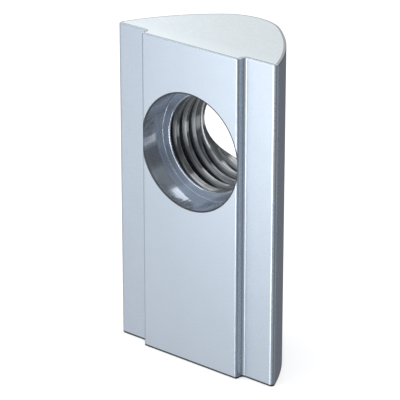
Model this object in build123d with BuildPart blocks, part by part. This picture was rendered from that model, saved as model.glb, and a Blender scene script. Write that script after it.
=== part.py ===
from build123d import *

import os
from math import acos, degrees, sqrt

# Threaded slot nut, cut to length from a steel bar of arched section. It stands on one end: the
# guide strip faces -Y, the arched back faces +Y and the length runs along Z. The origin is the
# centre of the bounding box's lower face. All sizes are in millimetres.

# Overall sizes
length = 23.3
body_width = 13.6
depth = 7.55

# Raised guide strip between the two shoulders
strip_width = 8.4
strip_height = 0.63
strip_edge_radius = 0.2
strip_root_radius = 0.28

# Arched back: a small corner, a long shallow flank and a rounded crown, each tangent to the next
corner_radius = 0.25
flank_radius = 14.8
crown_radius = 3.95

# Stepped hole through strip and back, nearer the upper end
hole_from_top = 7.6
thread_diameter = 8.0
thread_pitch = 1.0
counterbore_clearance = 0.25
counterbore_depth = 2.05

# Broken edge all round both end faces
end_bevel = 0.08

# Planes of the section, with the depth shared equally about Y = 0
strip_y = -depth / 2
shoulder_y = strip_y + strip_height
crown_y = depth / 2

# The sharp 60 degree thread is this high, and the smooth bore stands five eighths of it inside the
# thread's outer diameter
sharp_thread_height = thread_pitch * sqrt(3) / 2
bore_diameter = thread_diameter - 2 * 5 / 8 * sharp_thread_height
counterbore_diameter = thread_diameter + counterbore_clearance

# The flank's circle holds the corner's and the crown's circles, and touches each from inside.
# Its centre is therefore flank_radius less their radius away from each of their centres.
corner_centre = Vector(body_width / 2 - corner_radius, shoulder_y + corner_radius)
crown_centre = Vector(0, crown_y - crown_radius)
corner_to_flank = flank_radius - corner_radius
crown_to_flank = flank_radius - crown_radius
crown_to_corner = corner_centre - crown_centre
span = crown_to_corner.length
angle_at_crown = acos((crown_to_flank**2 + span**2 - corner_to_flank**2) / (2 * crown_to_flank * span))
toward_flank = crown_to_corner.normalized().rotate(Axis.Z, -degrees(angle_at_crown))
flank_centre = crown_centre + toward_flank * crown_to_flank

# Points where the flank's arc meets the corner's arc and the crown's arc
corner_joint = flank_centre + (corner_centre - flank_centre).normalized() * flank_radius
crown_joint = flank_centre + (crown_centre - flank_centre).normalized() * flank_radius

# Plane at the hole's mouth, on the strip's face, looking out of the hole
mouth = Plane(origin=(0, strip_y, length - hole_from_top), x_dir=(1, 0, 0), z_dir=(0, -1, 0))

with BuildPart() as slot_nut:
    # Section of the bar: one half is drawn from the strip round to the crown, then mirrored
    with BuildSketch(Plane.XY):
        with BuildLine():
            FilletPolyline(
                (0, strip_y),
                (strip_width / 2, strip_y),
                (strip_width / 2, shoulder_y),
                (corner_centre.X, shoulder_y),
                radius=[strip_edge_radius, strip_root_radius],
            )
            corner = TangentArc((corner_centre.X, shoulder_y), corner_joint, tangent=(1, 0))
            flank = TangentArc(corner_joint, crown_joint, tangent=corner % 1)
            TangentArc(crown_joint, (0, crown_y), tangent=flank % 1)
            mirror(about=Plane.YZ)
        make_face()
    extrude(amount=length)

    # Both ends are cut square and their edges broken
    chamfer(slot_nut.faces().filter_by(Axis.Z).edges(), length=end_bevel)

    # The counterbore relieves the screw's thread in the strip, and the bore runs out at the back
    with Locations(mouth):
        CounterBoreHole(
            radius=bore_diameter / 2,
            counter_bore_radius=counterbore_diameter / 2,
            counter_bore_depth=counterbore_depth,
            depth=depth,
        )

slot_nut.part.label = "slot_nut"

os.makedirs("parts", exist_ok=True)
export_step(slot_nut.part, "parts/slot_nut.step")
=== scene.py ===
"""Threaded slot nut: its modelled form, its zinc finishes, and a plain studio round it."""

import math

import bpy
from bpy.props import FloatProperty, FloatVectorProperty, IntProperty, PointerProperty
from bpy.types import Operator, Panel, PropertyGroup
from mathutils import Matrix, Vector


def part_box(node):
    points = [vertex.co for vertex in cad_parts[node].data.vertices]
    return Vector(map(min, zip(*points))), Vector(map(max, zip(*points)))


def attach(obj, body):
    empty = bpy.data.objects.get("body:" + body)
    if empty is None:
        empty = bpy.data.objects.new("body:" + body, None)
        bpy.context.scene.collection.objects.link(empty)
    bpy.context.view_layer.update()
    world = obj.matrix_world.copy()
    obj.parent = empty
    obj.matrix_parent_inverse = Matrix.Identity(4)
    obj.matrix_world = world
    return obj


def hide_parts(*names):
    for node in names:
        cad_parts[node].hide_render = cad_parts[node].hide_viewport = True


bl_info = {
    "name": "Threaded Slot Nut",
    "version": (1, 0, 0),
    "blender": (4, 5, 0),
    "location": "3D View > Sidebar > Slot Nut",
    "description": "Models a zinc-plated slot nut with a tapped hole, and a plain studio round it",
    "category": "Add Mesh",
}

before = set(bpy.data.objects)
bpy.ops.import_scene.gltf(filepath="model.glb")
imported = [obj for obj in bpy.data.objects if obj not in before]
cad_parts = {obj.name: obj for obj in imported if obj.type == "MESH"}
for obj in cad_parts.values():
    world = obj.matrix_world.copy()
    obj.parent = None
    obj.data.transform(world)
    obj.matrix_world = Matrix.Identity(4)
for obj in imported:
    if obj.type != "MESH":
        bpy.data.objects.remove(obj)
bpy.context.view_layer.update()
nut_low, nut_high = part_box("slot_nut")

MM = 0.001


# ---------------------------------------------------------------------------------------------
# What a user may change
# ---------------------------------------------------------------------------------------------


def distance(name, description, default):
    """A length in metres, shown in the scene's units."""
    return FloatProperty(
        name=name, description=description, default=default, min=0.0, precision=5, subtype="DISTANCE", unit="LENGTH"
    )


def colour(name, description, default):
    """A linear colour of a finish."""
    return FloatVectorProperty(
        name=name, description=description, default=default, size=3, min=0.0, max=1.0, subtype="COLOR"
    )


def factor(name, description, default):
    """A number from 0 to 1."""
    return FloatProperty(name=name, description=description, default=default, min=0.0, max=1.0, subtype="FACTOR")


def bearing(name, description, degrees):
    """An angle, given in degrees."""
    return FloatProperty(name=name, description=description, default=math.radians(degrees), subtype="ANGLE")


class SlotNutSizes(PropertyGroup):
    """Sizes of the bar's section, the stepped hole and the thread."""

    length: distance("Length", "Length of the nut along the slot", nut_high.z - nut_low.z)
    width: distance("Width", "Width over the two shoulders", nut_high.x - nut_low.x)
    depth: distance("Depth", "From the guide strip's face to the crown of the back", nut_high.y - nut_low.y)
    strip_width: distance("Strip Width", "Width of the raised guide strip", 8.4 * MM)
    strip_height: distance("Strip Height", "Height of the guide strip above the shoulders", 0.63 * MM)
    strip_edge: distance("Strip Edge Radius", "Radius along the strip's two edges", 0.2 * MM)
    strip_root: distance("Strip Root Radius", "Radius between the strip and each shoulder", 0.28 * MM)
    corner: distance("Corner Radius", "Radius between each shoulder and the back's flank", 0.25 * MM)
    flank: distance("Flank Radius", "Radius of the long shallow flanks of the back", 14.8 * MM)
    crown: distance("Crown Radius", "Radius of the crown of the back", 3.95 * MM)
    end_bevel: distance("End Bevel", "Broken edge round both end faces", 0.08 * MM)
    hole_from_top: distance("Hole from Top", "Distance of the hole's axis below the upper end", 7.6 * MM)
    thread_diameter: distance("Thread Diameter", "Outer diameter of the thread", 8.0 * MM)
    pitch: distance("Pitch", "Advance of the thread in one turn", 1.0 * MM)
    counterbore_gap: distance("Counterbore Clearance", "How much wider the counterbore is than the thread", 0.25 * MM)
    counterbore_depth: distance("Counterbore Depth", "Depth of the counterbore from the strip's face", 2.05 * MM)
    mouth_radius: distance("Mouth Radius", "Rounding of the hole's mouth", 0.05 * MM)
    floor_radius: distance("Floor Radius", "Radius between the counterbore's wall and its floor", 0.08 * MM)
    bore_lip_radius: distance("Bore Lip Radius", "Rounding of the counterbore floor's inner edge", 0.12 * MM)
    # The rim takes a painted dark outline round each end face
    outline_rim: distance("Worn Rim", "Width of the worn rim round each end face", 0.11 * MM)
    # Sizes of painted dark lines: a shade line above the lower end's bevel, and an outline round the hole's mouth
    foot_shade_band: distance("Worn Foot", "Height of the worn band above the lower end's bevel", 0.1 * MM)
    mouth_outline_ring: distance("Worn Mouth", "Width of the worn ring round the hole's mouth", 0.07 * MM)
    thread_steps: IntProperty(
        name="Thread Steps", description="Straight steps in one turn of the thread", default=128, min=24, max=256
    )


class SlotNutFinish(PropertyGroup):
    """Colours and polish of the plated and the machined surfaces."""

    drawn: colour("Drawn Faces", "Bluish zinc on the faces along the bar", (0.66, 0.75, 0.86))
    ends: colour("Cut Ends", "Paler zinc on the two end faces", (0.70, 0.77, 0.805))
    bored: colour("Counterbore", "Thinner zinc in the counterbore", (0.595, 0.67, 0.78))
    tapped: colour("Thread", "Bare bright steel in the thread", (0.87, 0.92, 1.0))
    # Colour of the painted dark outline along the edges; a quarter of it paints the dark lines at the foot and the
    # mouth
    edges: colour("Edges", "Darker steel where the zinc is worn off the edges", (0.33, 0.35, 0.38))
    drawn_roughness: factor("Drawn Roughness", "Roughness of the faces along the bar", 0.35)
    end_roughness: factor("End Roughness", "Roughness of the two end faces", 0.36)
    bored_roughness: factor("Counterbore Roughness", "Roughness of the counterbore", 0.08)
    tapped_roughness: factor("Thread Roughness", "Roughness of the thread", 0.09)


class SlotNutStudio(PropertyGroup):
    """Camera and lamps."""

    azimuth: bearing("Azimuth", "How far the camera stands to the right", 39.693)
    elevation: bearing("Elevation", "How far the camera stands above", 22.884)
    camera_distance: distance("Camera Distance", "From the camera to the point it looks at", 175.12 * MM)
    lens: FloatProperty(name="Lens", description="Focal length in millimetres", default=226.4, min=1.0)
    lamp_power: FloatProperty(name="Lamp Level", description="Scales every lamp", default=1.0, min=0.0)


# ---------------------------------------------------------------------------------------------
# Modelling steps. Everything is drawn in millimetres, and the finished nut is brought to metres.
# ---------------------------------------------------------------------------------------------

CLOSE = 1e-3  # two places this near, in millimetres, are the same
FINE_CLOSE = 1e-4  # the same for the finished nut, whose thread has short edges
FULL_TURN = 2 * math.pi
QUARTER_TURN = math.pi / 2
FLANK_SLOPE = math.tan(math.radians(30))  # of the thread's 60 degree profile
SMOOTH_BELOW = math.radians(32)  # edges with a smaller angle are shaded smooth
HOLE_STEPS = 192  # straight steps round the hole


def deselect():
    """Selects no object."""
    bpy.ops.object.select_all(action="DESELECT")


def only(piece):
    """Selects one object and makes it the active one."""
    deselect()
    piece.select_set(True)
    bpy.context.view_layer.objects.active = piece


def begin_chain(name, origin, point):
    """A new object with its origin at one place and a single vertex at another, in edit mode."""
    deselect()
    bpy.ops.mesh.primitive_plane_add(size=1.0, location=origin)
    piece = bpy.context.object
    piece.name = piece.data.name = name
    bpy.ops.object.mode_set(mode="EDIT")
    bpy.context.tool_settings.mesh_select_mode = (True, False, False)
    bpy.ops.mesh.select_all(action="SELECT")
    bpy.ops.mesh.merge(type="CENTER")
    bpy.ops.transform.translate(value=Vector(point) - Vector(origin))
    return piece


def chain_end(piece):
    """Where the one selected vertex is."""
    piece.update_from_editmode()
    chosen = [v.co for v in piece.data.vertices if v.select]
    if len(chosen) != 1:
        raise RuntimeError(f"{piece.name}: {len(chosen)} vertices are selected at the chain's end, not one")
    return piece.matrix_world @ chosen[0]


def line_to(piece, point):
    """Extrudes the chain's end to a point."""
    step = Vector(point) - chain_end(piece)
    bpy.ops.mesh.extrude_region_move(TRANSFORM_OT_translate={"value": step})


def arc_to(piece, centre, turn, steps, end):
    """Spins the chain's end round a centre, counterclockwise for a positive turn, and checks where it lands."""
    bpy.ops.mesh.spin(steps=steps, angle=-turn, center=centre, axis=(0, 0, 1), dupli=False, use_auto_merge=False)
    if (chain_end(piece) - Vector(end)).length > CLOSE:
        raise RuntimeError(f"{piece.name}: an arc ends at {chain_end(piece)}, not at {end}")


def merge_doubles(nearness=CLOSE):
    """In edit mode, merges the vertices that lie on each other, and leaves all selected."""
    bpy.ops.mesh.select_all(action="SELECT")
    bpy.ops.mesh.remove_doubles(threshold=nearness)


def select_parts(piece, parts, wanted):
    """In edit mode, selects only the faces or edges for which wanted() is true."""
    bpy.ops.mesh.select_mode(type={"edges": "EDGE", "polygons": "FACE"}[parts])
    bpy.ops.mesh.select_all(action="DESELECT")
    bpy.ops.object.mode_set(mode="OBJECT")
    for part in getattr(piece.data, parts):
        part.select = wanted(part)
    bpy.ops.object.mode_set(mode="EDIT")


def edge_at_height(piece, heights):
    """A test for edges that lie wholly at one of the heights."""

    def test(edge):
        ends = [piece.data.vertices[i].co.z for i in edge.vertices]
        return any(all(abs(z - height) < CLOSE for z in ends) for height in heights)

    return test


def on_circle(centre, radius, angle):
    """A point of a flat circle, by its angle from +X."""
    return Vector((centre[0] + radius * math.cos(angle), centre[1] + radius * math.sin(angle), 0))


def turned_solid(name, hole, outline):
    """A solid of revolution round the hole's axis, from an outline of (radius, y) that starts and ends on the axis."""
    solid = begin_chain(name, hole, (outline[0][0], outline[0][1], hole.z))
    for radius, y in outline[1:]:
        line_to(solid, (radius, y, hole.z))
    bpy.ops.mesh.select_all(action="SELECT")
    bpy.ops.mesh.spin(steps=HOLE_STEPS, angle=FULL_TURN, center=hole, axis=(0, 1, 0), dupli=False, use_auto_merge=True)
    merge_doubles()
    bpy.ops.mesh.normals_make_consistent(inside=False)
    bpy.ops.object.mode_set(mode="OBJECT")
    return solid


def cut_out(piece, cutter):
    """Cuts the cutter out of the piece by a Boolean, applied, and deletes the cutter."""
    only(piece)
    cut = piece.modifiers.new("cut", "BOOLEAN")
    cut.operation = "DIFFERENCE"
    cut.solver = "EXACT"
    cut.object = cutter
    bpy.ops.object.modifier_apply(modifier=cut.name)
    bpy.data.objects.remove(cutter)


def back_arcs(s):
    """Centres of the back's corner, flank and crown arcs, and the angles at which the flank starts and ends."""
    shoulder = s.strip_height - s.depth / 2
    corner = Vector((s.width / 2 - s.corner, shoulder + s.corner, 0))
    crown = Vector((0, s.depth / 2 - s.crown, 0))
    # The flank's circle holds the circles of corner and crown and touches both from inside
    to_corner, to_crown = s.flank - s.corner, s.flank - s.crown
    across = corner - crown
    at_crown = math.acos((to_crown**2 + across.length**2 - to_corner**2) / (2 * to_crown * across.length))
    toward = math.atan2(across.y, across.x) - at_crown
    flank = on_circle(crown, to_crown, toward)
    low = math.atan2(corner.y - flank.y, corner.x - flank.x)
    high = math.atan2(crown.y - flank.y, crown.x - flank.x)
    return corner, flank, crown, low, high


def back_at(s, x):
    """Y of the arched back at a distance x from the middle."""
    _, flank, crown, _, high = back_arcs(s)
    on_crown = x < on_circle(crown, s.crown, high).x
    centre, radius = (crown, s.crown) if on_crown else (flank, s.flank)
    return centre.y + math.sqrt(radius**2 - (x - centre.x) ** 2)


def arched_bar(s):
    """The bar's section drawn as one chain of lines and arcs, mirrored, filled and extruded to length."""
    face = -s.depth / 2
    shoulder = face + s.strip_height
    half_strip = s.strip_width / 2
    corner, flank, crown, low, high = back_arcs(s)
    edge_steps, corner_steps, back_steps = 8, 12, 14

    bar = begin_chain("slot_nut_threaded", (0, 0, 0), (0, face, 0))
    line_to(bar, (half_strip - s.strip_edge, face, 0))
    edge = (half_strip - s.strip_edge, face + s.strip_edge, 0)
    arc_to(bar, edge, QUARTER_TURN, edge_steps, (half_strip, face + s.strip_edge, 0))
    line_to(bar, (half_strip, shoulder - s.strip_root, 0))
    root = (half_strip + s.strip_root, shoulder - s.strip_root, 0)
    arc_to(bar, root, -QUARTER_TURN, edge_steps, (half_strip + s.strip_root, shoulder, 0))
    line_to(bar, (corner.x, shoulder, 0))
    arc_to(bar, corner, low + QUARTER_TURN, corner_steps, on_circle(corner, s.corner, low))
    arc_to(bar, flank, high - low, back_steps, on_circle(flank, s.flank, high))
    arc_to(bar, crown, QUARTER_TURN - high, back_steps, (0, s.depth / 2, 0))
    bpy.ops.mesh.select_all(action="SELECT")
    bpy.ops.mesh.symmetrize(direction="POSITIVE_X", threshold=CLOSE)
    merge_doubles()
    bpy.ops.mesh.edge_face_add()
    bpy.ops.mesh.extrude_region_move(TRANSFORM_OT_translate={"value": (0, 0, s.length)})
    bpy.ops.mesh.select_all(action="SELECT")
    bpy.ops.mesh.normals_make_consistent(inside=False)
    select_parts(bar, "edges", edge_at_height(bar, (0, s.length)))
    bpy.ops.mesh.bevel(offset=s.end_bevel, offset_type="OFFSET", segments=2, profile=0.5, affect="EDGES")
    # A narrow rim round each end face, to take the painted dark outline of the edges
    select_parts(bar, "polygons", lambda part: abs(part.normal.z) > 1 - CLOSE)
    bpy.ops.mesh.inset(thickness=s.outline_rim, depth=0)
    bpy.ops.object.mode_set(mode="OBJECT")
    return bar


def bore_radius(s):
    """Inner radius of the thread: five eighths of the sharp 60 degree thread inside its outer radius."""
    return s.thread_diameter / 2 - 5 / 8 * s.pitch * math.sqrt(3) / 2


def stepped_drill(s, hole):
    """The hole's plain form as one turned shape: broken mouth, counterbore, floor and bore."""
    face = -s.depth / 2
    wide, narrow = (s.thread_diameter + s.counterbore_gap) / 2, bore_radius(s)
    floor = face + s.counterbore_depth
    mouth, fillet, lip = s.mouth_radius, s.floor_radius, s.bore_lip_radius
    reach = 1.0  # how far the drill stands out of the nut at both ends
    over = 0.01  # how far it overlaps the strip's face round the mouth
    steps = 5
    rounding = [QUARTER_TURN * i / steps for i in range(steps + 1)]
    outline = (
        (0, face - reach),
        (wide + mouth + over, face - reach),
        (wide + mouth + over, face),
        *[(wide + mouth - mouth * math.sin(a), face + mouth - mouth * math.cos(a)) for a in rounding],
        *[(wide - fillet + fillet * math.cos(a), floor - fillet + fillet * math.sin(a)) for a in rounding],
        *[(narrow + lip - lip * math.sin(a), floor + lip - lip * math.cos(a)) for a in rounding],
        (narrow, s.depth / 2 + reach),
        (0, s.depth / 2 + reach),
    )
    return turned_solid("stepped_drill", hole, outline)


def groove_profile(s):
    """The thread's groove from its open side to its root and back: (radius, place along the axis)."""
    outer = s.thread_diameter / 2
    inner = bore_radius(s) - 0.16 * s.pitch  # inside the bore, so that the cut leaves no skin
    half_root = s.pitch / 16
    half_mouth = half_root + (outer - inner) * FLANK_SLOPE
    soft = 0.25 * half_root  # rounds the root's two corners
    half = (
        (inner, half_mouth),
        (outer - 2 * soft, half_root + 2 * soft * FLANK_SLOPE),
        (outer - 0.5 * soft, half_root - 0.3 * soft),
        (outer, half_root - 2 * soft),
    )
    return [(radius, -along) for radius, along in half] + list(reversed(half))


def thread_tap(s, hole):
    """The groove as a solid right-handed coil. It sinks in behind the counterbore's floor and rises at the back."""
    outer = s.thread_diameter / 2
    floor = -s.depth / 2 + s.counterbore_depth
    middle = floor + 0.025 * s.pitch  # of the first turn
    start = math.radians(-45)
    turns = math.ceil((s.depth / 2 - middle) / s.pitch) + 1
    profile = groove_profile(s)

    def place(radius, along, angle):
        return hole + Vector((radius * math.cos(angle), middle + along, radius * math.sin(angle)))

    tap = begin_chain("thread_tap", hole, place(*profile[0], start))
    for radius, along in (*profile[1:], profile[0]):
        line_to(tap, place(radius, along, start))
    merge_doubles()
    bpy.ops.object.mode_set(mode="OBJECT")
    only(tap)
    coil = tap.modifiers.new("coil", "SCREW")
    coil.axis = "Y"
    coil.angle = FULL_TURN
    coil.screw_offset = s.pitch
    coil.iterations = turns
    coil.steps = coil.render_steps = s.thread_steps
    coil.use_merge_vertices = False
    bpy.ops.object.modifier_apply(modifier=coil.name)
    bpy.ops.object.transform_apply(location=True, rotation=True, scale=True)
    # Run-in and run-out: the groove sinks into the wall as it leaves the floor's edge, and rises again as it nears the
    # arched back, so both edges of the bore stay whole
    for vertex in tap.data.vertices:
        spoke = Vector((vertex.co.x - hole.x, 0, vertex.co.z - hole.z))
        turn = (vertex.co.y - middle) / s.pitch - (start - math.atan2(spoke.z, spoke.x)) / FULL_TURN
        aside = (turn - round(turn)) * s.pitch
        centre_y = vertex.co.y - aside
        back = back_at(s, bore_radius(s) * abs(spoke.x) / spoke.length)
        room_before = centre_y - floor - s.bore_lip_radius - s.run_in_gap
        room_after = (back - centre_y - s.run_out_gap) * s.run_out_rate
        depth = max(0.0, min(room_before, room_after)) / FLANK_SLOPE
        lift = max(0.0, outer - s.clear_radius - depth)
        vertex.co = hole + spoke.normalized() * (spoke.length - lift) + Vector((0, vertex.co.y, 0))
    bpy.ops.object.mode_set(mode="EDIT")
    bpy.ops.mesh.select_all(action="SELECT")
    bpy.ops.mesh.fill_holes(sides=0)
    bpy.ops.mesh.normals_make_consistent(inside=False)
    bpy.ops.object.mode_set(mode="OBJECT")
    return tap


class Millimetres:
    """The sizes of the property group, as plain numbers in millimetres."""

    def __init__(self, group):
        for name in group.__annotations__:
            value = getattr(group, name)
            setattr(self, name, value if isinstance(value, int) else value / MM)
        # Gaps that the thread keeps to the floor's rounded edge and to the back, how slowly it rises near the back,
        # and the radius at which its cutter is clear of the wall
        self.run_in_gap = 0.02
        self.run_out_gap = 0.1
        self.run_out_rate = 0.3
        self.clear_radius = bore_radius(self) - 0.03


# ---------------------------------------------------------------------------------------------
# Node helpers
# ---------------------------------------------------------------------------------------------


def add(tree, kind, place, **settings):
    """A node of one kind at a place in the editor, with its settings."""
    node = tree.nodes.new(kind)
    node.location = place
    for name, value in settings.items():
        setattr(node, name, value)
    return node


def give(tree, socket, value):
    """Links an output to the socket, or sets the socket's own value."""
    if isinstance(value, bpy.types.NodeSocket):
        tree.links.new(value, socket)
    else:
        socket.default_value = value


def maths(tree, operation, place, *values, clamp=False):
    """One step of arithmetic on numbers and outputs."""
    node = add(tree, "ShaderNodeMath", place, operation=operation, use_clamp=clamp)
    for socket, value in zip(node.inputs, values):
        give(tree, socket, value)
    return node.outputs[0]


def ramped(tree, place, value, low, high, to_low=0.0, to_high=1.0, smooth=True):
    """Carries a value from one range to another, and holds it inside that."""
    node = add(tree, "ShaderNodeMapRange", place, interpolation_type="SMOOTHSTEP" if smooth else "LINEAR")
    settings = {"Value": value, "From Min": low, "From Max": high, "To Min": to_low, "To Max": to_high}
    for name, setting in settings.items():
        give(tree, node.inputs[name], setting)
    return node.outputs["Result"]


def grey(level):
    """A grey colour with its alpha."""
    return (level, level, level, 1.0)


def scaled(tint, by):
    """A colour made lighter or darker, with its alpha."""
    return (*[min(1.0, c * by) for c in tint], 1.0)


def as_grey(tree, place, value):
    """A grey that is as light as a number."""
    node = add(tree, "ShaderNodeCombineColor", place)
    for socket in node.inputs:
        give(tree, socket, value)
    return node.outputs[0]


def blend(tree, place, share, first, second, mode="MIX"):
    """Mixes two colours by a share. The node keeps its colours in inputs 6 and 7 and output 2."""
    node = add(tree, "ShaderNodeMix", place, data_type="RGBA", blend_type=mode)
    for index, value in ((0, share), (6, first), (7, second)):
        give(tree, node.inputs[index], value)
    return node.outputs[2]


def stepped(tree, place, value, stops):
    """A grey that follows a value from 0 to 1 through stops of (value, level)."""
    node = add(tree, "ShaderNodeValToRGB", place)
    give(tree, node.inputs[0], value)
    marks = node.color_ramp.elements
    # All marks are made first, because each new one moves the others
    for _ in stops[2:]:
        marks.new(0.5)
    for i, (at, level) in enumerate(stops):
        marks[i].position = at
        marks[i].color = grey(level)
    return node.outputs["Color"]


def split(tree, place, vector):
    """The three parts of a vector."""
    node = add(tree, "ShaderNodeSeparateXYZ", place)
    give(tree, node.inputs[0], vector)
    return node.outputs


def distance_from_axis(tree, place, position, axis_z):
    """Distance from the hole's axis, which runs along Y at this height."""
    x, y = place
    parts = split(tree, place, position)
    rise = maths(tree, "SUBTRACT", (x + 150, y), parts[2], axis_z)
    squares = [maths(tree, "MULTIPLY", (x + 300, y - 100 * i), part, part) for i, part in enumerate((parts[0], rise))]
    return maths(tree, "SQRT", (x + 600, y), maths(tree, "ADD", (x + 450, y), *squares))


def noise(tree, place, vector, scale, detail=2.0):
    """A smooth random pattern, mostly near 0.5."""
    node = add(tree, "ShaderNodeTexNoise", place)
    give(tree, node.inputs["Vector"], vector)
    give(tree, node.inputs["Scale"], scale)
    node.inputs["Detail"].default_value = detail
    return node.outputs["Fac"]


def object_place(tree, place):
    """The surface's own coordinates, in metres from the nut's origin."""
    return add(tree, "ShaderNodeTexCoord", place).outputs["Object"]


def new_group(name, inputs, outputs):
    """A node group of numbers, from inputs of name and default: (tree, inputs, outputs)."""
    tree = bpy.data.node_groups.new(name, "ShaderNodeTree")
    kind = "NodeSocketFloat"
    for label, default in inputs.items():
        tree.interface.new_socket(label, in_out="INPUT", socket_type=kind).default_value = default
    for label in outputs:
        tree.interface.new_socket(label, in_out="OUTPUT", socket_type=kind)
    return tree, add(tree, "NodeGroupInput", (-900, 0)).outputs, add(tree, "NodeGroupOutput", (900, 0)).inputs


def use_group(tree, group, place, **values):
    """Places a group in a material, with its own values."""
    node = add(tree, "ShaderNodeGroup", place, node_tree=group)
    for label, value in values.items():
        give(tree, node.inputs[label.replace("_", " ")], value)
    return node.outputs


# ---------------------------------------------------------------------------------------------
# Finishes
# ---------------------------------------------------------------------------------------------

# Scales of the slow clouds and of the gaps in the polish and its painted highlight, as noise per metre
CLOUD_SCALE = 420.0
GAP_SCALE = 2500.0

# How far the colour of plate and of machined metal drifts to both sides
ZINC_DRIFT = 0.01
MACHINED_DRIFT = 0.05

# How far the grain of plate changes its roughness to both sides, and a tool's rings down and up
GRAIN_ROUGHER = 0.02
RINGS_SMOOTHER, RINGS_ROUGHER = 0.03, 0.05

# Handling polish with a painted highlight: width of its band, how much of it is left out, how much lighter the painted
# highlight makes it, and how much smoother the polish makes it
POLISH_AND_HIGHLIGHT_BAND = 0.16 * MM
POLISH_AND_HIGHLIGHT_GAPS = 0.2
PAINTED_HIGHLIGHT_GAIN = 1.12
POLISHED_SMOOTHER = 0.08

# Painted light: the end faces get lighter over this depth towards the front
PAINTED_LIGHT_DEPTH = 1.8 * MM
PAINTED_LIGHT_GAIN = 1.2

# The thread by its height in the groove, from 0 on the crest to 1 at the root: stops of (height, level)
UPPER_FLANK = ((0.02, 0), (0.08, 1), (0.4, 1), (0.46, 0))
# Painted shade across the groove: darker on the crest and deep in the groove than on the flank near the crest
THREAD_PAINTED_SHADE = ((0.02, 0.5), (0.06, 1), (0.16, 1), (0.24, 0.75), (0.41, 0.65), (0.46, 0.35), (1, 0.5))
THREAD_METAL = ((0.02, 0.7), (0.08, 0.5), (0.4, 0.5), (0.46, 1))

# Painted shade: the upper flanks darker by this share towards the counterbore, between these shares of the nut's depth
FLANK_PAINTED_SHADE = 0.8
FLANK_SHADE_FROM, FLANK_SHADE_TO = 0.16, -0.175
FLANK_ROUGHER = 0.15


def grain_group():
    """Fine blasted grain and the slow cloudiness of a zinc layer, both about 0.5."""
    tree, given, out = new_group("zinc_grain", {"Grain Scale": 9000.0}, ("Grain", "Cloud"))
    place = object_place(tree, (-900, -300))
    tree.links.new(noise(tree, (-500, 200), place, given["Grain Scale"], 3.0), out["Grain"])
    tree.links.new(noise(tree, (-500, -200), place, CLOUD_SCALE, 3.0), out["Cloud"])
    return tree


def polish_and_highlight_group(s):
    """Handling polish and painted highlight on the end faces' rims and the long edges of strip and shoulders."""
    tree, given, out = new_group("edge_polish", {"Band": 0.1 * MM, "Break Up": 0.4}, ("Mask",))
    place = object_place(tree, (-900, -300))
    x, y, z = split(tree, (-700, -300), place)
    side = maths(tree, "ABSOLUTE", (-500, -100), x)
    # Behind the front, a metre is added to the distance from the long edges, so that they stay on the front
    behind = maths(tree, "GREATER_THAN", (-500, -500), y, -0.7 * s.depth / 2)
    nearest = None
    for i, (value, edge, on_front) in enumerate(
        (
            (z, 0.0, False),
            (z, s.length, False),
            (side, s.strip_width / 2, True),
            (side, s.width / 2 - 0.3 * s.corner, True),
        )
    ):
        row = 300 - 200 * i
        gap = maths(tree, "ABSOLUTE", (-100, row), maths(tree, "SUBTRACT", (-300, row), value, edge))
        if on_front:
            gap = maths(tree, "ADD", (0, row), gap, behind)
        nearest = gap if nearest is None else maths(tree, "MINIMUM", (100, row), nearest, gap)
    share = maths(tree, "DIVIDE", (250, 200), nearest, given["Band"])
    near = maths(tree, "SUBTRACT", (400, 200), 1.0, share, clamp=True)
    patches = ramped(tree, (250, -300), noise(tree, (50, -300), place, GAP_SCALE), 0.3, 0.6)
    gaps = maths(tree, "MULTIPLY", (400, -300), patches, given["Break Up"])
    kept = maths(tree, "SUBTRACT", (500, -200), 1.0, gaps)
    tree.links.new(maths(tree, "MULTIPLY", (700, 0), near, kept), out["Mask"])
    return tree


def turning_group(hole):
    """Fine rings round the hole's axis, as a boring tool and a tap leave them."""
    tree, given, out = new_group("turned_rings", {"Ring Scale": 9000.0}, ("Rings",))
    place = object_place(tree, (-900, -300))
    section = add(tree, "ShaderNodeCombineXYZ", (100, -200))
    tree.links.new(distance_from_axis(tree, (-700, -300), place, hole.z), section.inputs[0])
    tree.links.new(split(tree, (-700, -100), place)[1], section.inputs[1])
    tree.links.new(noise(tree, (300, -100), section.outputs[0], given["Ring Scale"]), out["Rings"])
    return tree


def metal(name, metallic):
    """A new material with one Principled shader: (material, tree, shader)."""
    material = bpy.data.materials.new(name)
    material.use_nodes = True
    tree = material.node_tree
    tree.nodes.clear()
    shader = add(tree, "ShaderNodeBsdfPrincipled", (600, 0))
    shader.inputs["Metallic"].default_value = metallic
    tree.links.new(shader.outputs[0], add(tree, "ShaderNodeOutputMaterial", (900, 0)).inputs[0])
    return material, tree, shader


def clouded(tree, cloud, tint, drift):
    """A colour that drifts slowly to both sides by a share."""
    share = ramped(tree, (-700, 300), cloud, 0.3, 0.7)
    return blend(tree, (-500, 300), share, scaled(tint, 1 - drift), scaled(tint, 1 + drift))


def relief(tree, shader, pattern, depth):
    """Raises and sinks the surface by a pattern, over a depth in metres."""
    bump = add(tree, "ShaderNodeBump", (300, -300))
    bump.inputs["Strength"].default_value = 0.5
    bump.inputs["Distance"].default_value = depth
    tree.links.new(pattern, bump.inputs["Height"])
    tree.links.new(bump.outputs[0], shader.inputs["Normal"])


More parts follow.
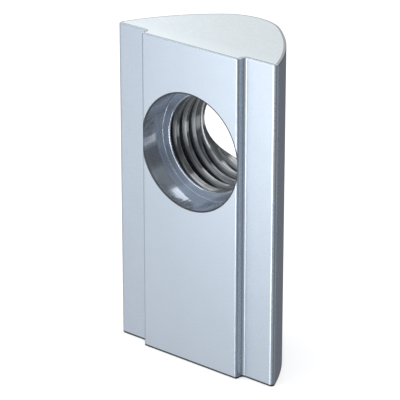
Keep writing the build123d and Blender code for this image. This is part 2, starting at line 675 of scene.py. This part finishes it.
def painted_dark_lines(tree, finish, hole, sizes, dark_line_colour):
    """A thin painted shade line along the foot, and a thin painted dark ring outlining the hole's mouth."""
    place = object_place(tree, (-1100, 900))
    _, y, z = split(tree, (-900, 900), place)
    bevel, band = sizes.end_bevel, sizes.foot_shade_band
    foot = ramped(tree, (-300, 900), z, bevel + band, bevel + 0.6 * band)
    radius = distance_from_axis(tree, (-900, 1200), place, hole.z)
    outside = (sizes.thread_diameter + sizes.counterbore_gap) / 2 + sizes.mouth_radius + sizes.mouth_outline_ring
    ring = ramped(tree, (-200, 1200), radius, outside, outside - 0.3 * sizes.mouth_outline_ring)
    on_strip = maths(tree, "LESS_THAN", (-200, 1400), y, sizes.mouth_radius - sizes.depth / 2)
    mouth = maths(tree, "MULTIPLY", (0, 1200), ring, on_strip)
    return blend(tree, (200, 700), maths(tree, "MAXIMUM", (100, 1000), foot, mouth), finish, dark_line_colour)


def plated(name, tint, roughness, groups, grain_scale, grain_depth, speckle, metallic=0.8, front=None, dark_lines=None):
    """Zinc plate: cloudy colour, speckled grain that breaks the shine too, edge polish with a painted highlight.

    With front, the strip's Y, it has painted light towards it. With dark_lines, (hole, sizes, line colour), it has the
    painted shade line along the foot and the painted dark outline round the hole's mouth.
    """
    grain, polish_highlight, _ = groups
    material, tree, shader = metal(name, metallic)
    marks = use_group(tree, grain, (-900, 100), Grain_Scale=grain_scale)
    polish_and_highlight = use_group(tree, polish_highlight, (-900, -200), Band=POLISH_AND_HIGHLIGHT_BAND, Break_Up=POLISH_AND_HIGHLIGHT_GAPS)["Mask"]
    cloudy = clouded(tree, marks["Cloud"], tint, ZINC_DRIFT)
    speckles = ramped(tree, (-500, 100), marks["Grain"], 0.3, 0.7)
    shade = blend(tree, (-250, 300), speckles, cloudy, grey(1 - speckle), "MULTIPLY")
    # Painted highlight along the polished edges
    shade = blend(tree, (0, 300), polish_and_highlight, shade, scaled(tint, PAINTED_HIGHLIGHT_GAIN))
    # Painted light: the end face is lighter towards the front
    if front is not None:
        y = split(tree, (-900, 600), object_place(tree, (-1100, 600)))[1]
        painted_light = ramped(tree, (-300, 600), y, front + PAINTED_LIGHT_DEPTH, front, smooth=False)
        shade = blend(tree, (200, 400), painted_light, shade, scaled(tint, PAINTED_LIGHT_GAIN))
    # Painted shade line along the foot and painted dark outline round the hole's mouth
    if dark_lines:
        shade = painted_dark_lines(tree, shade, *dark_lines)
    tree.links.new(shade, shader.inputs["Base Color"])
    low, high = roughness - GRAIN_ROUGHER, roughness + GRAIN_ROUGHER
    grained = ramped(tree, (-250, 0), marks["Grain"], 0.25, 0.75, low, high)
    smoother = maths(tree, "MULTIPLY", (-150, -100), polish_and_highlight, POLISHED_SMOOTHER)
    tree.links.new(maths(tree, "SUBTRACT", (0, 0), grained, smoother), shader.inputs["Roughness"])
    relief(tree, shader, marks["Grain"], grain_depth)
    return material


def thread_tones(tree, shader, shade, roughness, hole, sizes):
    """Painted shade on the thread: dark roots and bright upper flanks, less bright near the counterbore: (shade,
    roughness).
    """
    place = object_place(tree, (-900, -500))
    y = split(tree, (-700, -500), place)[1]
    radius = distance_from_axis(tree, (-700, -700), place, hole.z)
    height = ramped(tree, (-500, -600), radius, bore_radius(sizes), sizes.thread_diameter / 2, smooth=False)
    flank = stepped(tree, (-300, -600), height, UPPER_FLANK)
    # Painted shade across the groove
    shade = blend(tree, (0, 400), 1.0, shade, stepped(tree, (-300, -900), height, THREAD_PAINTED_SHADE), "MULTIPLY")
    dim_from, dim_to = FLANK_SHADE_FROM * sizes.depth, FLANK_SHADE_TO * sizes.depth
    # Painted shade on the upper flanks, darker towards the counterbore
    dim = ramped(tree, (-300, -400), y, dim_from, dim_to, 0.0, FLANK_PAINTED_SHADE, smooth=False)
    kept = maths(tree, "SUBTRACT", (-50, 500), 1.0, maths(tree, "MULTIPLY", (-150, 500), dim, flank))
    shade = blend(tree, (200, 400), 1.0, shade, as_grey(tree, (50, 500), kept), "MULTIPLY")
    rougher = maths(tree, "MULTIPLY", (100, -200), flank, FLANK_ROUGHER)
    tree.links.new(stepped(tree, (-300, -1200), height, THREAD_METAL), shader.inputs["Metallic"])
    return shade, maths(tree, "ADD", (200, 0), roughness, rougher)


def machined(name, tint, roughness, groups, ring_scale, ring_depth, ring_shade, metallic, thread=None):
    """Metal cut by a turning tool: fine rings in colour, roughness and relief, over a slow cloudiness.

    With thread, (hole, sizes), it has the thread's painted shade.
    """
    grain, _, turned = groups
    material, tree, shader = metal(name, metallic)
    rings = use_group(tree, turned, (-900, -200), Ring_Scale=ring_scale)["Rings"]
    cloudy = clouded(tree, use_group(tree, grain, (-900, 100))["Cloud"], tint, MACHINED_DRIFT)
    lines = ramped(tree, (-500, 0), rings, 0.35, 0.65)
    shade = blend(tree, (-250, 300), lines, cloudy, grey(ring_shade), "MULTIPLY")
    cut = ramped(tree, (-250, 0), rings, 0.25, 0.75, roughness - RINGS_SMOOTHER, roughness + RINGS_ROUGHER)
    if thread:
        shade, cut = thread_tones(tree, shader, shade, cut, *thread)
    tree.links.new(shade, shader.inputs["Base Color"])
    tree.links.new(cut, shader.inputs["Roughness"])
    relief(tree, shader, rings, ring_depth)
    return material


# ---------------------------------------------------------------------------------------------
# Operators
# ---------------------------------------------------------------------------------------------


class MESH_OT_slot_nut(Operator):
    """Models the slot nut with its counterbore and thread, and gives it its finishes"""

    bl_idname = "mesh.slot_nut_add"
    bl_label = "Slot Nut"
    bl_options = {"REGISTER", "UNDO"}

    def execute(self, context):
        sizes = context.scene.slot_nut_sizes
        finish = context.scene.slot_nut_finish
        s = Millimetres(sizes)
        hole = Vector((0, 0, s.length - s.hole_from_top))
        nut = arched_bar(s)
        cut_out(nut, stepped_drill(s, hole))
        cut_out(nut, thread_tap(s, hole))
        only(nut)
        bpy.ops.object.mode_set(mode="EDIT")
        merge_doubles(FINE_CLOSE)
        bpy.ops.mesh.normals_make_consistent(inside=False)
        bpy.ops.object.mode_set(mode="OBJECT")

        nut.data.materials.clear()
        for material in self.finishes(finish, sizes, hole * MM):
            nut.data.materials.append(material)
        self.assign(nut, s, hole)

        # Wide faces set the shading of the narrow roundings beside them. The areas are told apart in millimetres.
        bpy.ops.object.shade_smooth_by_angle(angle=SMOOTH_BELOW)
        level = nut.modifiers.new("level", "WEIGHTED_NORMAL")
        level.keep_sharp = True
        level.weight = 100
        level.thresh = 0.0
        bpy.ops.object.modifier_apply(modifier=level.name)
        bpy.ops.transform.resize(value=(MM, MM, MM), center_override=(0, 0, 0))
        bpy.ops.object.transform_apply(location=True, rotation=True, scale=True)
        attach(nut, "root")
        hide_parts("slot_nut")
        return {"FINISHED"}

    @staticmethod
    def finishes(finish, sizes, hole):
        """The nut's five materials: along the bar, end faces, counterbore, thread and the painted dark outline of the
        edges.
        """
        groups = (grain_group(), polish_and_highlight_group(sizes), turning_group(hole))
        # Darker still, for the painted shade line along the foot and the painted outline round the mouth
        dark_line_colour = scaled(finish.edges, 0.25)
        return (
            plated(
                "zinc_drawn",
                finish.drawn,
                finish.drawn_roughness,
                groups,
                grain_scale=9000.0,
                grain_depth=0.003 * MM,
                speckle=0.05,
                dark_lines=(hole, sizes, dark_line_colour),
            ),
            plated(
                "zinc_end",
                finish.ends,
                finish.end_roughness,
                groups,
                grain_scale=6000.0,
                grain_depth=0.006 * MM,
                speckle=0.08,
                metallic=1.0,
                front=-sizes.depth / 2,
            ),
            machined(
                "zinc_bored",
                finish.bored,
                finish.bored_roughness,
                groups,
                ring_scale=5000.0,
                ring_depth=0.002 * MM,
                ring_shade=0.9,
                metallic=0.74,
            ),
            machined(
                "steel_tapped",
                finish.tapped,
                finish.tapped_roughness,
                groups,
                ring_scale=4500.0,
                ring_depth=0.001 * MM,
                ring_shade=0.5,
                metallic=1.0,
                thread=(hole, sizes),
            ),
            # Painted dark outline on the end rims and the back's bevels
            plated(
                "steel_edge",
                finish.edges,
                finish.end_roughness,
                groups,
                grain_scale=6000.0,
                grain_depth=0.002 * MM,
                speckle=0.05,
            ),
        )

    @staticmethod
    def assign(nut, s, hole):
        """Gives each face its finish, by its place and its normal. All others keep the first one."""
        face = -s.depth / 2
        floor = face + s.counterbore_depth
        wide = (s.thread_diameter + s.counterbore_gap) / 2
        small = 1.0  # square millimetres, more than any face of the rim and less than the end face inside it

        def from_axis(part):
            return math.hypot(part.center.x - hole.x, part.center.z - hole.z)

        def is_end(part):
            return part.area > small and abs(part.normal.z) > 1 - CLOSE

        def is_bored(part):
            behind_mouth = part.center.y > face + s.mouth_radius - CLOSE
            return from_axis(part) < wide + CLOSE and behind_mouth and part.center.y < floor + s.bore_lip_radius

        def is_tapped(part):
            outward = Vector((part.center.x - hole.x, 0, part.center.z - hole.z)).dot(part.normal)
            deep = from_axis(part) < s.thread_diameter / 2 + CLOSE and part.center.y > floor + CLOSE
            lip = s.bore_lip_radius
            beside_lip = part.center.y > floor + lip or from_axis(part) > bore_radius(s) + lip
            return deep and beside_lip and outward < 0.2 * from_axis(part)

        # Faces of the end rims and of the back's bevels, which take the painted dark outline
        def is_edge(part):
            from_end = min(part.center.z, s.length - part.center.z)
            on_rim = from_end < CLOSE and part.area < small
            on_bevel_of_back = from_end < s.end_bevel and part.normal.y > 0
            return abs(part.normal.z) > 0.2 and (on_rim or on_bevel_of_back)

        bpy.ops.object.mode_set(mode="EDIT")
        for slot, wanted in enumerate((is_end, is_bored, is_tapped, is_edge), start=1):
            select_parts(nut, "polygons", wanted)
            nut.active_material_index = slot
            bpy.ops.object.material_slot_assign()
        bpy.ops.object.mode_set(mode="OBJECT")


def direction(azimuth, elevation):
    """The direction at an angle to the right of the front and an angle above it."""
    return Vector(
        (math.sin(azimuth) * math.cos(elevation), -math.cos(azimuth) * math.cos(elevation), math.sin(elevation))
    )


def facing(tree, place, looking, azimuth, elevation, first, last):
    """Rises from 0 to 1 near a direction in degrees, over a range of the cosine of the angle to it."""
    dot = add(tree, "ShaderNodeVectorMath", place, operation="DOT_PRODUCT")
    tree.links.new(looking, dot.inputs[0])
    dot.inputs[1].default_value = direction(math.radians(azimuth), math.radians(elevation))
    return ramped(tree, (place[0] + 200, place[1]), dot.outputs["Value"], first, last)


class SCENE_OT_slot_nut_studio(Operator):
    """Adds the pale floor, the white surroundings, the soft lamps and the camera"""

    bl_idname = "scene.slot_nut_studio"
    bl_label = "Studio"
    bl_options = {"REGISTER", "UNDO"}

    def execute(self, context):
        studio = context.scene.slot_nut_studio
        self.floor()
        self.world(context.scene)
        self.lamps(studio.lamp_power)
        self.camera(context.scene, studio)
        context.scene.view_settings.view_transform = "Standard"
        return {"FINISHED"}

    @staticmethod
    def floor():
        """A pale floor. It throws no shadow and doesn't show in the nut."""
        size, sunk = 4.0, 0.005 * MM
        deselect()
        bpy.ops.mesh.primitive_plane_add(size=size, location=(0, 0, -sunk))
        floor = bpy.context.object
        floor.name = "studio_floor"
        bpy.ops.object.transform_apply(location=True, rotation=True, scale=True)
        material = bpy.data.materials.new("pale_floor")
        material.use_nodes = True
        tree = material.node_tree
        tree.nodes.clear()
        plain = add(tree, "ShaderNodeBsdfDiffuse", (0, 0))
        plain.inputs[0].default_value = grey(0.8)
        # A little light of its own, which only the camera sees, brings it to white
        ray = add(tree, "ShaderNodeLightPath", (-400, -200))
        lift = add(tree, "ShaderNodeEmission", (0, -200))
        tree.links.new(maths(tree, "MULTIPLY", (-200, -200), ray.outputs["Is Camera Ray"], 0.5), lift.inputs[1])
        both = add(tree, "ShaderNodeAddShader", (300, 0))
        tree.links.new(plain.outputs[0], both.inputs[0])
        tree.links.new(lift.outputs[0], both.inputs[1])
        tree.links.new(both.outputs[0], add(tree, "ShaderNodeOutputMaterial", (500, 0)).inputs[0])
        floor.data.materials.append(material)
        floor.visible_glossy = False
        floor.visible_shadow = False

    @staticmethod
    def world(scene):
        """White to the camera. Reflections see a room, pale above and dark below, with a dark wall on the right."""
        world = scene.world or bpy.data.worlds.new("studio")
        scene.world = world
        world.use_nodes = True
        tree = world.node_tree
        tree.nodes.clear()
        looking = add(tree, "ShaderNodeTexCoord", (-1200, 0)).outputs["Generated"]
        z = split(tree, (-1000, 200), looking)[2]

        # Below the horizon the room is nearly dark, but for the front on the left. It is pale above, and grey overhead.
        front = facing(tree, (-1000, -100), looking, -45, -10, 0.2, 1.0)
        low = blend(tree, (-400, 0), front, (0.09, 0.088, 0.095, 1), grey(0.53))
        room = blend(tree, (-200, 100), ramped(tree, (-700, 300), z, -0.12, 0.3), low, grey(0.88))
        room = blend(tree, (-150, 300), ramped(tree, (-700, 500), z, 0.68, 0.85), room, grey(0.5))

        # A dark wall stands on the right, a little lighter towards the front and much lighter above
        near_front = facing(tree, (-1000, 600), looking, 15, -10, 0.2, 0.9)
        wall = blend(tree, (-400, 600), near_front, (0.05, 0.05, 0.053, 1), (0.13, 0.13, 0.135, 1))
        wall = blend(tree, (-300, 700), ramped(tree, (-700, 700), z, 0.3, 0.75), wall, grey(0.42))
        room = blend(tree, (-100, 200), facing(tree, (-1000, 400), looking, 75, 0, 0.05, 0.36), room, wall)

        # Softer tones, most of which only the hole's inside reflects. The one at 40 degrees lights the strip's side.
        for azimuth, elevation, first, last, level in (
            (-28, 24, 0.82, 0.93, 0.52),
            (-50, 6, 0.93, 0.985, 0.1),
            (40, -23, 0.87, 0.97, 0.27),
            (157, 34, 0.92, 0.98, 0.2),
            (-168, 45, 0.95, 0.985, 1.35),
            (138, -18, 0.975, 0.999, 0.6),
        ):
            patch = facing(tree, (-1000, 900), looking, azimuth, elevation, first, last)
            room = blend(tree, (-120, 250), patch, room, grey(level))

        # The camera sees white, and so do the rays that light plain surfaces, a little less of it
        ray = add(tree, "ShaderNodeLightPath", (-700, -400))
        seen = maths(tree, "MAXIMUM", (-400, -300), ray.outputs["Is Camera Ray"], ray.outputs["Is Diffuse Ray"])
        back = add(tree, "ShaderNodeBackground", (200, 0))
        tree.links.new(blend(tree, (0, 0), seen, room, grey(1.0)), back.inputs[0])
        less = maths(tree, "MULTIPLY", (-200, -300), ray.outputs["Is Diffuse Ray"], 0.25)
        tree.links.new(maths(tree, "SUBTRACT", (0, -300), 1.0, less), back.inputs[1])
        tree.links.new(back.outputs[0], add(tree, "ShaderNodeOutputWorld", (400, 0)).inputs[0])

    @staticmethod
    def lamps(power):
        """Two soft lamps that light plain surfaces, and four cards that only reflections see. All in millimetres."""
        for name, place, aim, width, height, radiance in (
            ("key", (-70, -90, 120), (0, 0, 12), 80, 80, 2.0),
            ("fill", (90, -60, 110), (0, 0, 12), 60, 60, 0.8),
            ("front_card", (-25.6, -93.9, 3.0), (0, -3, 12), 59, 59, 2.4),
            ("back_card", (-119, 80, 81), (0, 0, 23), 80, 80, 0.25),
            ("edge_card", (-2.5, -80, -22), (0, -4, 12), 11, 45, 4.2),
            ("thread_card", (27, -83, 0), (0, 0, 15.7), 22, 38, 1.45),
        ):
            is_card = name.endswith("card")
            lamp = bpy.data.lights.new(name, "AREA")
            lamp.shape = "RECTANGLE"
            lamp.size, lamp.size_y = width * MM, height * MM
            lamp.energy = power * radiance * math.pi * width * height * MM**2
            holder = bpy.data.objects.new(name, lamp)
            bpy.context.scene.collection.objects.link(holder)
            holder.location = Vector(place) * MM
            holder.rotation_euler = (Vector(aim) - Vector(place)).to_track_quat("-Z", "Y").to_euler()
            holder.visible_diffuse = not is_card
            holder.visible_glossy = is_card
            holder.visible_camera = False

    @staticmethod
    def camera(scene, studio):
        """The view from the front's right and above."""
        back = direction(studio.azimuth, studio.elevation)
        right = Vector((math.cos(studio.azimuth), math.sin(studio.azimuth), 0))
        up = back.cross(right)
        aim_right, aim_up = 0.736, 11.289  # millimetres in the picture from the middle of the strip's foot
        target = Vector((0, nut_low.y, nut_low.z)) + (right * aim_right + up * aim_up) * MM
        data = bpy.data.cameras.new("view")
        data.sensor_fit = "HORIZONTAL"
        data.sensor_width = 36.0
        data.lens = studio.lens
        data.clip_start, data.clip_end = 1 * MM, 20.0
        camera = bpy.data.objects.new("view", data)
        scene.collection.objects.link(camera)
        turn = Matrix((right, up, back)).transposed().to_4x4()
        camera.matrix_world = Matrix.Translation(target + back * studio.camera_distance) @ turn
        scene.camera = camera


class VIEW3D_PT_slot_nut(Panel):
    """Sidebar panel with the nut's sizes, finishes and studio"""

    bl_label = "Slot Nut"
    bl_idname = "VIEW3D_PT_slot_nut"
    bl_space_type = "VIEW_3D"
    bl_region_type = "UI"
    bl_category = "Slot Nut"

    def draw(self, context):
        for group, operator in (
            (context.scene.slot_nut_sizes, None),
            (context.scene.slot_nut_finish, MESH_OT_slot_nut.bl_idname),
            (context.scene.slot_nut_studio, SCENE_OT_slot_nut_studio.bl_idname),
        ):
            box = self.layout.box()
            for name in group.__annotations__:
                box.prop(group, name)
            if operator:
                box.operator(operator)


PROPERTY_GROUPS = (
    ("slot_nut_sizes", SlotNutSizes),
    ("slot_nut_finish", SlotNutFinish),
    ("slot_nut_studio", SlotNutStudio),
)
CLASSES = (
    SlotNutSizes,
    SlotNutFinish,
    SlotNutStudio,
    MESH_OT_slot_nut,
    SCENE_OT_slot_nut_studio,
    VIEW3D_PT_slot_nut,
)


def register():
    """Makes the classes and the scene's three groups of settings known."""
    for cls in CLASSES:
        bpy.utils.register_class(cls)
    for name, group in PROPERTY_GROUPS:
        setattr(bpy.types.Scene, name, PointerProperty(type=group))


def unregister():
    """Takes the settings and the classes away again."""
    for name, _ in PROPERTY_GROUPS:
        delattr(bpy.types.Scene, name)
    for cls in reversed(CLASSES):
        bpy.utils.unregister_class(cls)


def main():
    """Makes the nut and its studio."""
    register()
    bpy.ops.mesh.slot_nut_add()
    bpy.ops.scene.slot_nut_studio()


if __name__ == "__main__":
    main()
